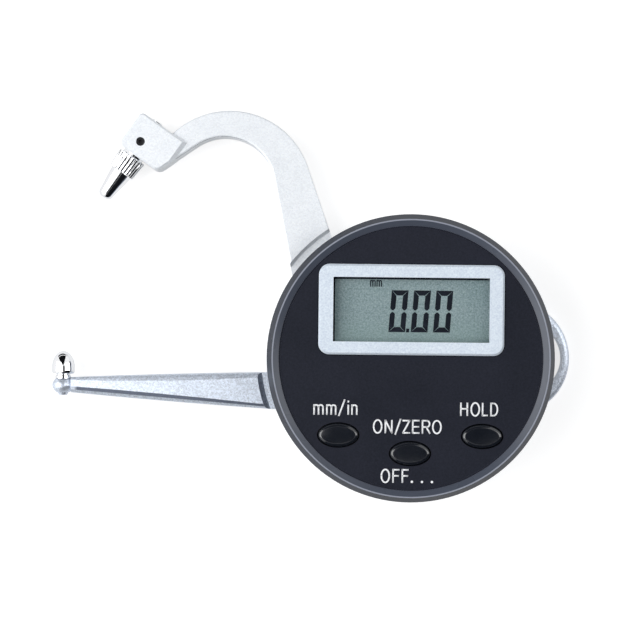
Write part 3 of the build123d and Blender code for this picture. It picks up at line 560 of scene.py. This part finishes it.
case_black, tree, grain, shader = finish(
    "case_black", (0.021, 0.026, 0.040), (0.030, 0.036, 0.052), (0.24, 0.36),
    grains=5200, patches=120, bump=0.22, depth=0.012, Specular_IOR_Level=0.35,
)
place = add_node(tree, "ShaderNodeTexCoord")
flat = add_node(tree, "ShaderNodeVectorMath", {0: place.outputs["Object"], 1: (1, 1, 0)},
                operation="MULTIPLY")
from_middle = add_node(tree, "ShaderNodeVectorMath", {0: flat.outputs["Vector"]},
                       operation="LENGTH")
# painted sheen: the slope inside the rim is coloured paler
inside = fade(tree, from_middle.outputs["Value"], SLOPE_EDGE + SLOPE_FADE, SLOPE_EDGE)
slope_sheen_colour = paint_over(tree, shader, grain["Colour"], inside, (0.070, 0.080, 0.106))
crest_top = top_of("case_shell")
# painted highlight: a bright line along the crest of the rim
crest_highlight = fade(tree, along(tree, "Z"), crest_top - CREST_START, crest_top - CREST_FULL)
paint_over(tree, shader, slope_sheen_colour, crest_highlight, (0.30, 0.32, 0.38))
dress(case_black, "case_shell", "base_plate")

# %% [markdown]
# The face plate is a matt sheet with a fine dry grain, and the keys are glossy. Their colours are
# nearly the same, so roughness and the strength of the mirror tell them apart. Rubber, printed
# board and chip lie inside the case and are plain.

# %% Face, keys and inner parts
face_black = plain_finish(
    ["face_plate"], "face_black", (0.005, 0.007, 0.014), (0.014, 0.016, 0.028), (0.46, 0.60),
    grains=2600, patches=60, share=0.35, bump=0.35, depth=0.012, Specular_IOR_Level=0.2,
)
key_black = plain_finish(
    ["key_units", "key_zero", "key_hold"], "key_black", (0.007, 0.009, 0.013),
    (0.013, 0.015, 0.021), (0.10, 0.16), grains=3600, patches=200, bump=0.04,
    Specular_IOR_Level=0.9,
)
plain_finish(
    ["battery_cap"], "cap_black", (0.022, 0.024, 0.028), (0.034, 0.036, 0.042), (0.34, 0.46),
    grains=4600, patches=160, bump=0.25, depth=0.012,
)
plain_finish(
    ["connector_strips"], "strip_rubber", (0.50, 0.50, 0.47), (0.62, 0.60, 0.56), (0.6, 0.75),
    grains=7000, bump=0.2,
)
plain_finish(
    ["circuit_board", "encoder_rotor"], "board_green", (0.015, 0.10, 0.045),
    (0.030, 0.16, 0.070), (0.28, 0.40), grains=2600, patches=420, share=0.5, bump=0.15,
)
plain_finish(
    ["controller_chip"], "chip_black", (0.010, 0.010, 0.011), (0.018, 0.018, 0.019),
    (0.20, 0.34), bump=0.1,
)

# %% [markdown]
# ## The display
#
# A silver trim frames a clear window, and the liquid crystal glass lies a little under it. The
# trim is sprayed plastic, pale and faintly blue. The glass is the grey green of a reflective
# display, greener towards its lower edge. The window is Principled with plain transmission.
# Light has to reach the glass through it, and lamps don't shine through glass without a lot of
# noise, so shadow and diffuse rays get a transparent shader in its place.

# %% Trim, window and glass
LOWER_START, LOWER_FULL = 9.0, 2.5

plain_finish(
    ["display_frame"], "display_silver", (0.65, 0.73, 0.84), (0.85, 0.93, 1.0), (0.36, 0.46),
    grains=3000, patches=140, share=0.08, bump=0.12, Metallic=0.1,
)
window, tree, grain, shader = finish(
    "clear_window", (0.96, 0.98, 0.98), (1.0, 1.0, 1.0), (0.0, 0.02),
    patches=120, Transmission_Weight=1.0, IOR=1.46,
)
path = add_node(tree, "ShaderNodeLightPath").outputs
clear = add_node(tree, "ShaderNodeBsdfTransparent")
swap = add_node(tree, "ShaderNodeMixShader", {
    "Fac": either(tree, path["Is Shadow Ray"], path["Is Diffuse Ray"]),
    1: shader.outputs[0], 2: clear.outputs[0],
})
tree.links.new(swap.outputs[0], tree.get_output_node("ALL").inputs["Surface"])
dress(window, "display_window")

glass, tree, grain, shader = finish(
    "lcd_glass", (0.140, 0.215, 0.215), (0.355, 0.440, 0.460), (0.30, 0.42),
    grains=2600, patches=110, share=0.1, bump=0.05,
)
lower = fade(tree, along(tree, "Y"), LOWER_START, LOWER_FULL, most=0.6)
paint_over(tree, shader, grain["Colour"], lower, (0.215, 0.305, 0.285))
dress(glass, "lcd_panel")

# %% [markdown]
# ## Printed words
#
# The face carries white words that say what each key does. They are screen printed, a few
# hundredths of a millimetre thick, in a plain drawing-office letter whose strokes all have one
# width. A typeface squeezed to these narrow letters would lose that even stroke, so the letters
# are drawn with a pen instead: each is a few straight strokes and bows in a box from 0 to 1.

# %% Print finish and the pen's alphabet
print_white = finish(
    "print_white", (0.95, 0.96, 0.98), (0.99, 0.99, 1.0), (0.5, 0.65),
    grains=6000, patches=500, bump=0.1,
)[0]
digit_black = finish(
    "digit_black", (0.006, 0.008, 0.014), (0.011, 0.014, 0.022), (0.5, 0.65), grains=6000,
    Specular_IOR_Level=0.1,
)[0]
PRINT_DEPTH, PRINT_SINK = 0.03, 0.01
BOW_STEPS = 16


def bow(x, y, width, height, start, end):
    """Points of a round stroke about a middle, between two angles."""
    turns = [radians(start + (end - start) * step / BOW_STEPS) for step in range(BOW_STEPS + 1)]
    return [(x + width * cos(turn), y + height * sin(turn)) for turn in turns]


STEM = [(0, 0), (0, 1)]
LETTERS = {
    "/": [[(0, 0), (1, 1)]],
    "D": [STEM, [(0, 1), (0.4, 1)], [(0, 0), (0.4, 0)], bow(0.4, 0.5, 0.6, 0.5, 90, -90)],
    "E": [STEM, [(0, 1), (1, 1)], [(0, 0.5), (0.93, 0.5)], [(0, 0), (1, 0)]],
    "F": [STEM, [(0, 1), (1, 1)], [(0, 0.51), (0.9, 0.51)]],
    "H": [STEM, [(1, 0), (1, 1)], [(0, 0.54), (1, 0.54)]],
    "L": [STEM, [(0, 0), (1, 0)]],
    "N": [STEM, [(0, 1), (1, 0)], [(1, 0), (1, 1)]],
    "O": [bow(0.5, 0.5, 0.5, 0.5, 0, 180), bow(0.5, 0.5, 0.5, 0.5, 180, 360)],
    "R": [STEM, [(0, 1), (0.62, 1)], [(0, 0.49), (0.62, 0.49)],
          bow(0.62, 0.745, 0.36, 0.255, 90, -90), [(0.52, 0.49), (1, 0)]],
    "Z": [[(0, 1), (1, 1)], [(1, 1), (0, 0)], [(0, 0), (1, 0)]],
    "i": [STEM, [(0, 1.40), (0, 1.46)]],
    "m": [STEM, [(0.5, 0), (0.5, 0.75)], [(1, 0), (1, 0.75)],
          bow(0.25, 0.75, 0.25, 0.25, 180, 0), bow(0.75, 0.75, 0.25, 0.25, 180, 0)],
    "n": [STEM, [(1, 0), (1, 0.73)], bow(0.5, 0.73, 0.5, 0.27, 180, 0)],
}
print(len(LETTERS), "letters")

# %% [markdown]
# Every new piece goes through the same last steps. It is edited alone, its seams are closed and
# its faces turned outwards. Then it gets its name, its finish, and the body that it rides on.

# %% Closing and seating a piece
SEAM = 0.002


def alone(piece):
    """Selects one piece and nothing else."""
    bpy.ops.object.select_all(action="DESELECT")
    piece.select_set(True)
    bpy.context.view_layer.objects.active = piece


@contextmanager
def editing(piece):
    """Edit mode on one piece, with all of it selected, and back again."""
    alone(piece)
    bpy.ops.object.mode_set(mode="EDIT")
    bpy.ops.mesh.select_all(action="SELECT")
    yield
    bpy.ops.object.mode_set(mode="OBJECT")


def tidy(piece):
    """Closes a new piece's seams and turns its faces outwards."""
    with editing(piece):
        bpy.ops.mesh.remove_doubles(threshold=SEAM * MM)
        bpy.ops.mesh.normals_make_consistent(inside=False)
    return piece


def seat(piece, name, material, body="gauge"):
    """Names a finished piece, gives it its finish and lets it ride on its body."""
    piece.name = name
    piece.data.materials.clear()
    piece.data.materials.append(material)
    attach(piece, body)
    low = Vector(min(v.co[i] for v in piece.data.vertices) for i in range(3)) / MM
    high = Vector(max(v.co[i] for v in piece.data.vertices) for i in range(3)) / MM
    print(name, [round(v, 2) for v in low], "to", [round(v, 2) for v in high], "mm")

# %% [markdown]
# A word is one curve with a spline for every stroke. The curve's bevel gives each spline a round
# section as wide as the pen, and it is made a mesh and pressed flat.

# %% Writing
def drawn(stroke, box, pen):
    """A stroke's points in millimetres, with the straight ends run out to the letter's edge."""
    left, right, foot, top = box
    width, height = right - left - pen, top - foot - pen
    points = [
        Vector((left + pen / 2 + x * width, foot + pen / 2 + y * height, 0)) for x, y in stroke
    ]
    if len(points) == 2:
        run_out = (points[1] - points[0]).normalized() * 0.4 * pen
        points = [points[0] - run_out, points[1] + run_out]
    return points


def written(name, letters, pen, base, material):
    """Letters, each with its box, as one flat closed piece on a base."""
    curve = bpy.data.curves.new(name, "CURVE")
    curve.dimensions = "3D"
    curve.bevel_depth = pen / 2
    curve.bevel_resolution = 1
    curve.use_fill_caps = True
    for letter, *box in letters:
        for stroke in LETTERS[letter]:
            spline = curve.splines.new("POLY")
            points = drawn(stroke, box, pen)
            spline.points.add(len(points) - 1)
            for point, place in zip(spline.points, points):
                point.co = (*place, 1)
    text = new_object(name, curve)
    alone(text)
    bpy.ops.object.convert(target="MESH")
    flat = Matrix.Diagonal((MM, MM, MM * PRINT_DEPTH / pen, 1))
    text.data.transform(Matrix.Translation(mm(0, 0, base + PRINT_DEPTH / 2 - PRINT_SINK)) @ flat)
    seat(tidy(text), name, material)

# %% [markdown]
# Each letter stands in a box: its left and right side, its foot and its top, in millimetres from
# the middle of the case. The boxes are measured, so the words fall where they stand on the real
# face.

# %% Words on the face
PEN = 0.36
for name, letters in {
    "print_units": [
        ("m", -20.32, -18.10, -12.00, -9.74), ("m", -17.64, -15.44, -12.00, -9.74),
        ("/", -15.11, -13.61, -12.25, -8.65), ("i", -13.18, -12.81, -11.96, -9.77),
        ("n", -12.39, -11.03, -11.96, -9.70),
    ],
    "print_on_zero": [
        ("O", -7.82, -5.79, -15.83, -12.77), ("N", -5.37, -3.67, -15.76, -12.86),
        ("/", -3.28, -1.88, -16.04, -12.61), ("Z", -1.67, 0.03, -15.76, -12.84),
        ("E", 0.36, 1.99, -15.76, -12.82), ("R", 2.39, 4.25, -15.76, -12.82),
        ("O", 4.54, 6.61, -15.83, -12.79),
    ],
    "print_hold": [
        ("H", 10.38, 12.08, -11.95, -9.09), ("O", 12.54, 14.58, -12.05, -8.99),
        ("L", 14.92, 16.26, -11.95, -9.07), ("D", 16.68, 18.39, -11.97, -9.05),
    ],
    "print_off": [
        ("O", -6.10, -4.09, -26.16, -23.09), ("F", -3.65, -2.12, -26.07, -23.14),
        ("F", -1.71, -0.20, -26.07, -23.14),
    ],
}.items():
    written(name, letters, PEN, face_top, print_white)

# %% [markdown]
# Three dots follow the word OFF. A dot is a flat button: a disc that is extruded once, with a
# second smaller step for its soft edge. One is modelled and the other two are copies, each with
# a mesh of its own.

# %% Dots
DOT_RADIUS, DOT_EDGE, DOT_CROWN = 0.25, 0.03, 0.008


def own_copy(piece, change=Matrix()):
    """A copy of a piece with a mesh of its own, moved or mirrored by a matrix."""
    copy = piece.copy()
    copy.data = piece.data.copy()
    bpy.context.scene.collection.objects.link(copy)
    copy.data.transform(change)
    return copy


def rise(height):
    """Extrudes the selected face upwards by a height in millimetres."""
    bpy.ops.mesh.extrude_region_move(TRANSFORM_OT_translate={"value": mm(0, 0, height)})


def printed_dot(x, y):
    """A low round dot of print with a stepped edge."""
    dot = added(
        bpy.ops.mesh.primitive_circle_add, vertices=20, radius=DOT_RADIUS * MM, fill_type="NGON",
        location=mm(x, y, face_top - PRINT_SINK),
    )
    with editing(dot):
        rise(PRINT_DEPTH - PRINT_SINK)
        bpy.ops.mesh.inset(thickness=DOT_EDGE * MM, depth=DOT_CROWN * MM)
    return tidy(dot)


dots = [printed_dot(0.45, -25.80)]
dots += [own_copy(dots[0], Matrix.Translation(mm(shift, 0, 0))) for shift in (2.11, 4.20)]
for number, dot in enumerate(dots, 1):
    seat(dot, f"print_dot_{number}", print_white)

# %% [markdown]
# ## The digits
#
# A nought on such a display is six dark bars with mitred ends and a hair of light between them.
# Each bar starts as a block at its size, and cuts with a plane shape its ends. Only the top bar
# and one side bar are modelled. The other four are mirrored copies of these two.

# %% Bars of one digit
DIGIT_WIDTH, DIGIT_HEIGHT = 3.52, 8.78
BAR, HAIR, MIDDLE_GAP = 1.08, 0.10, 0.34
BLUNT = 0.12


def cut(point, outwards):
    """Cuts the piece being edited with a plane, and closes it. What lies outwards goes."""
    bpy.ops.mesh.select_all(action="SELECT")
    bpy.ops.mesh.bisect(
        plane_co=mm(*point, 0), plane_no=(*outwards, 0), use_fill=True, clear_outer=True,
    )


def bar(left, right, low, high, cuts):
    """A flat dark bar with its ends cut, about the digit's middle."""
    piece = added(bpy.ops.mesh.primitive_cube_add, size=1)
    size = Matrix.Diagonal(((right - left) * MM, (high - low) * MM, PRINT_DEPTH * MM, 1))
    piece.data.transform(Matrix.Translation(mm((left + right) / 2, (low + high) / 2, 0)) @ size)
    with editing(piece):
        for point, outwards in cuts:
            cut(point, outwards)
    return piece


def nought():
    """Six bars of a nought, joined to one mesh and closed."""
    half_w, half_h, end = DIGIT_WIDTH / 2, DIGIT_HEIGHT / 2, MIDDLE_GAP / 2
    bar_middle = half_w - BAR / 2
    top = bar(-half_w, half_w, half_h - BAR, half_h, [
        ((half_w - HAIR, half_h), (1, -1)), ((HAIR - half_w, half_h), (-1, -1)),
    ])
    side = bar(half_w - BAR, half_w, end, half_h, [
        ((half_w, half_h - HAIR), (-1, 1)),
        ((bar_middle - BLUNT, end), (-1, -1)), ((bar_middle + BLUNT, end), (1, -1)),
    ])
    bars = [own_copy(top, Matrix.Diagonal((1, -1, 1, 1)))]
    for x, y in ((-1, 1), (1, -1), (-1, -1)):
        bars.append(own_copy(side, Matrix.Diagonal((x, y, 1, 1))))
    alone(top)
    for piece in [side, *bars]:
        piece.select_set(True)
    bpy.ops.object.join()
    return tidy(top)


pattern = nought()
print("nought with", len(pattern.data.polygons), "faces")

# %% [markdown]
# The nought is copied to its three places on the glass. The digits of the real display lean a few
# degrees, and one slanting matrix does that.

# %% Digits
LEAN = 4.3
DIGIT_LINE, DIGIT_PLACES = 9.86, (-2.66, 2.03, 6.72)


def slanted(piece, x, y):
    """Leans a display mark and sets it on the glass, under the window."""
    lean = Matrix.Identity(4)
    lean[0][1] = tan(radians(LEAN))
    piece.data.transform(Matrix.Translation(mm(x, y, glass_top + PRINT_DEPTH / 2)) @ lean)
    return piece


for number, x in enumerate(DIGIT_PLACES, 1):
    digit = slanted(own_copy(pattern), x, DIGIT_LINE)
    seat(digit, f"display_digit_{number}", digit_black)
bpy.data.objects.remove(pattern)

# %% [markdown]
# The decimal point is one more bar, nearly square, with its corners cut. The small unit sign
# over the digits says what they count, and it is lettering like the print on the face, in the
# display's dark colour.

# %% Point and unit sign
point = bar(-0.32, 0.32, -0.40, 0.40, [
    ((0.32, 0.34), (1, 1)), ((-0.32, 0.34), (-1, 1)), ((0.32, -0.34), (1, -1)),
    ((-0.32, -0.34), (-1, -1)),
])
seat(tidy(slanted(point, -0.69, 5.83)), "display_point", digit_black)
written(
    "display_unit", [("m", -8.68, -7.50, 14.93, 16.37), ("m", -7.34, -6.16, 14.93, 16.37)], 0.24,
    glass_top + 0.01, digit_black,
)

# %% [markdown]
# Between the window and the glass lies a thin black sheet, painted shadow: it makes a dark line
# along the left and the upper edge of the display, because its opening doesn't sit quite in the
# middle of the trim. It is one sheet with a hole: a plane is inset, each side of the hole is moved
# to its place, and the ring is given a thickness.

# %% Painted shadow in the display
OPENING = {"left": -16.0, "right": 16.6, "low": 3.02, "high": 16.52}
SHADE_SHEET_RIM, SHADE_SHEET_GAP = 0.5, 0.1


def sheet_over(box, height, margin):
    """A flat sheet at a height, larger than a solid's box by a margin all round."""
    low, high = box
    middle, size = (low + high) / 2, high - low
    middle.z = height * MM
    sheet = added(bpy.ops.mesh.primitive_plane_add, size=1)
    spread = Matrix.Diagonal((size.x + 2 * margin * MM, size.y + 2 * margin * MM, 1, 1))
    sheet.data.transform(Matrix.Translation(middle) @ spread)
    return sheet, middle


def thicken(piece, thickness):
    """Gives the active flat piece a thickness upwards."""
    thick = piece.modifiers.new("thickness", "SOLIDIFY")
    thick.thickness = thickness * MM
    thick.offset = 1.0
    bpy.ops.object.modifier_apply(modifier="thickness")
    return tidy(piece)


# painted shadow: a black sheet whose off-centre opening darkens the left and upper edge
mask, middle = sheet_over(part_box("display_window"), glass_top + 2 * PRINT_DEPTH, -SHADE_SHEET_GAP)
with editing(mask):
    bpy.ops.mesh.inset(thickness=SHADE_SHEET_RIM * MM)
    bpy.ops.mesh.delete(type="ONLY_FACE")
inner = sorted(mask.data.vertices, key=lambda v: (v.co - middle).length)[:4]
for corner in inner:
    corner.co.x = OPENING["left" if corner.co.x < middle.x else "right"] * MM
    corner.co.y = OPENING["low" if corner.co.y < middle.y else "high"] * MM
seat(thicken(mask, PRINT_DEPTH), "display_shade_sheet", digit_black)

# %% [markdown]
# ## Keys with rounded rims
#
# The CAD model cuts the rim of a key as a plain slope. On the real key the rim is rounded over
# more than half a millimetre, and each key shows a bright crescent where that rounding mirrors
# the soft boxes. So each key is modelled again here, at the CAD key's own box: an oval flange,
# a step in to the cap, and a rounding made of short insets that follow a quarter circle. One
# key is modelled, and the other two are copies that are moved to their holes.

# %% Keys
RIM, RIM_STEPS = 0.75, 8
FLANGE_STEP, FLANGE_THICK = 0.57, 0.75
CAP_DEPTH = 2.0
NIB_STEP = 1.9


def select_underside(piece):
    """Selects the lowest face of the piece being edited that looks down."""
    bpy.ops.object.mode_set(mode="OBJECT")
    mesh = piece.data
    undersides = [face for face in mesh.polygons if face.normal.z < -0.99]
    for part in (*mesh.polygons, *mesh.edges, *mesh.vertices):
        part.select = False
    min(undersides, key=lambda face: face.center.z).select = True
    bpy.ops.object.mode_set(mode="EDIT")


def rounded_key(node):
    """An oval key in the box of a CAD key, with a flange and a rounded rim."""
    low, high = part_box(node)
    middle, half = (low + high) / 2, (high - low) / 2
    flange_top = high.z - CAP_DEPTH * MM
    key = added(bpy.ops.mesh.primitive_circle_add, vertices=96, radius=1, fill_type="NGON")
    place = Matrix.Translation((middle.x, middle.y, flange_top - FLANGE_THICK * MM))
    key.data.transform(place @ Matrix.Diagonal((half.x, half.y, 1, 1)))
    with editing(key):
        bpy.ops.mesh.select_mode(type="FACE")
        rise(FLANGE_THICK)
        bpy.ops.mesh.inset(thickness=FLANGE_STEP * MM)
        rise(CAP_DEPTH - RIM)
        turns = [radians(90 * step / RIM_STEPS) for step in range(RIM_STEPS + 1)]
        for before, after in zip(turns, turns[1:]):
            inwards = RIM * (cos(before) - cos(after))
            upwards = RIM * (sin(after) - sin(before))
            bpy.ops.mesh.inset(thickness=inwards * MM, depth=upwards * MM)
        select_underside(key)
        bpy.ops.mesh.inset(thickness=NIB_STEP * MM)
        rise((low.z - flange_top) / MM + FLANGE_THICK)
    tidy(key)
    bpy.ops.object.shade_smooth_by_angle(angle=radians(40))
    return key


def key_piece(key, which):
    """Names a key, lets it ride on its own body and stand for its CAD solid."""
    key.name = f"rounded_key_{which}"
    key.data.materials.clear()
    key.data.materials.append(key_black)
    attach(key, f"key_{which}")
    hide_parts(f"key_{which}")
    print(key.name, [round(size / MM, 2) for size in key.dimensions], "mm")


first_key = rounded_key("key_units")
for which in ("zero", "hold"):
    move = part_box(f"key_{which}")[0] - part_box("key_units")[0]
    key_piece(own_copy(first_key, Matrix.Translation(move)), which)
key_piece(first_key, "units")

# %% [markdown]
# ## A bead and a painted shadow line
#
# A narrow groove runs between the rim and the face, and the real gauge fills it with a soft
# black bead. It lies nearly level with the face and turns up a little at the rim. It is a small
# profile, spun once round.

# %% Bead in the groove
def spun_ring(name, profile, steps):
    """A ring from a closed profile of radius and height points, in millimetres."""
    mesh = bpy.data.meshes.new(name)
    points = [mm(radius, 0, height) for radius, height in profile]
    count = len(points)
    mesh.from_pydata(points, [(i, (i + 1) % count) for i in range(count)], [])
    ring = new_object(name, mesh)
    with editing(ring):
        bpy.ops.mesh.spin(steps=steps, angle=2 * pi, center=(0, 0, 0), axis=(0, 0, 1))
    tidy(ring)
    bpy.ops.object.shade_smooth_by_angle(angle=radians(50))
    return ring


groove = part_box("face_plate")[1].x / MM
rim_side, face_side, bottom = groove + 0.34, groove + 0.01, face_top - 0.6
bead = spun_ring("bead", [
    (rim_side, bottom), (rim_side, face_top + 0.06), (groove + 0.24, face_top + 0.015),
    (groove + 0.12, face_top), (face_side, face_top - 0.005), (face_side, bottom),
], 180)
seat(bead, "groove_bead", face_black)

# %% [markdown]
# A dark line of painted shadow runs round the silver trim where it stands on the face: a flat
# black sheet of the trim's size and a little more, with rounded corners, a hole, and a thickness.

# %% Painted shadow under the trim
SHADE_LINE_EDGE, SHADE_LINE_CORNER, SHADE_LINE_WIDTH, SHADE_LINE_DEPTH = 0.2, 2.5, 1.2, 0.05

# painted shadow: a black sheet round the trim stands for the dark gap at its foot
shade_line, _ = sheet_over(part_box("display_frame"), face_top + 0.005, SHADE_LINE_EDGE)
with editing(shade_line):
    bpy.ops.mesh.bevel(offset=SHADE_LINE_CORNER * MM, segments=8, affect="VERTICES")
    bpy.ops.mesh.select_mode(type="FACE")
    bpy.ops.mesh.select_all(action="SELECT")
    bpy.ops.mesh.inset(thickness=SHADE_LINE_WIDTH * MM)
    bpy.ops.mesh.delete(type="FACE")
seat(thicken(shade_line, SHADE_LINE_DEPTH), "trim_shade_line", digit_black)

# %% [markdown]
# ## Ground tips
#
# Both chrome tips are turned shapes whose radius also changes with the angle. A lathe profile
# can't do that, so they are built as rings of points, set one behind the other along a level
# axis, with a function that says how far each point stands out.

# %% Shaped rings
tip_low, tip_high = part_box("anvil_tip")
TIP_HEIGHT = (tip_low.z + tip_high.z) / 2 / MM


def turned(name, place, heading, rings, radius_at, steps):
    """A closed piece: rings of radius and distance, shaped by the angle, along a level axis."""
    axis = Vector((cos(radians(heading)), sin(radians(heading)), 0))
    across = Vector((-axis.y, axis.x, 0))
    points = []
    for radius, distance in rings:
        for angle in (2 * pi * number / steps for number in range(steps)):
            reach = radius_at(radius, distance, angle)
            side = across * (reach * sin(angle)) + Vector((0, 0, reach * cos(angle)))
            points.append((Vector((*place, TIP_HEIGHT)) + axis * distance + side) * MM)
    faces = []
    for ring in range(0, len(points) - steps, steps):
        for number in range(steps):
            a, b = ring + number, ring + (number + 1) % steps
            faces.append((a, b, b + steps, a + steps))
    faces += [tuple(range(steps)), tuple(range(len(points) - steps, len(points)))]
    mesh = bpy.data.meshes.new(name)
    mesh.from_pydata(points, [], faces)
    piece = tidy(new_object(name, mesh))
    bpy.ops.object.shade_smooth_by_angle(angle=radians(40))
    return piece

# %% [markdown]
# The anvil is ground with ten small flats that fade out on its pointed dome, and their edges are
# polished round, so an edge draws a dark line in the chrome. Rings are listed from the point to
# the stem: the dome, the shoulder, the neck with its ring, and the stem in the eye. The piece
# takes the place of the CAD anvil and keeps its length.

# %% Ground anvil
FLATS, FLAT_DISTANCE, FLAT_EDGE, FLAT_TURN = 10, 2.44, 2.49, 12.0
ANVIL_RADIUS, DOME_LENGTH, DOME_POWER = 2.55, 4.2, 2.2
FLATS_END = 4.94
DOME = (0.002, 0.03, 0.1, 0.2, 0.32, 0.46, 0.62, 0.8, 1.0, 1.25, 1.5, 1.8, 2.1, 2.5, 3.0, 3.6, 4.2)
SHOULDER = [(2.55, 4.6), (2.36, 4.8), (2.15, 4.94)]
NECK = [(1.5, 4.96), (1.5, 5.25), (1.72, 5.35), (1.72, 5.95), (1.5, 6.1)]
STEM_RINGS = [(1.2, 6.14), (1.2, 8.33)]


def ground(radius, distance, angle):
    """The anvil's flats: the smaller of the turned radius and the distance of the flat."""
    if distance > FLATS_END:
        return radius
    pitch = 2 * pi / FLATS
    turn = (angle - radians(FLAT_TURN)) % pitch - pitch / 2
    return min(radius, FLAT_EDGE, FLAT_DISTANCE / cos(turn))


rings = [(ANVIL_RADIUS * (1 - (1 - at / DOME_LENGTH) ** DOME_POWER) ** 0.5, at) for at in DOME]
anvil = turned(
    "anvil", ((tip_low.x + tip_high.x) / 2 / MM, tip_high.y / MM), -90,
    rings + SHOULDER + NECK + STEM_RINGS, ground, 180,
)
seat(anvil, "ground_anvil", chrome)
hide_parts("anvil_tip")

# %% [markdown]
# The collar of the other tip is a ring of rounded ridges, and every ridge carries the same dark
# line. They are a thin sleeve round the CAD collar, in step with its flutes, and swing with the
# jaw.

# %% Collar ridges
TIP_PLACE, TIP_HEADING = (-66.194, 33.845), 55.0
RIDGES, RIDGE_DEPTH, SLEEVE = 22, 0.2, 0.03


def ridged(radius, distance, angle):
    """A round ridge in every pitch of the collar, the same at every distance."""
    spot = (angle * RIDGES / (2 * pi) + 0.5) % 1 - 0.5
    return radius + SLEEVE - RIDGE_DEPTH * (2 * spot) ** 2


rings = [(2.45, 6.66), (2.7, 6.67), (2.9, 6.85), (3.18, 10.62), (2.98, 10.83), (2.45, 10.84)]
ridges = turned("ridges", TIP_PLACE, TIP_HEADING, rings, ridged, 10 * RIDGES)
seat(ridges, "collar_ridges", chrome, body="jaw")
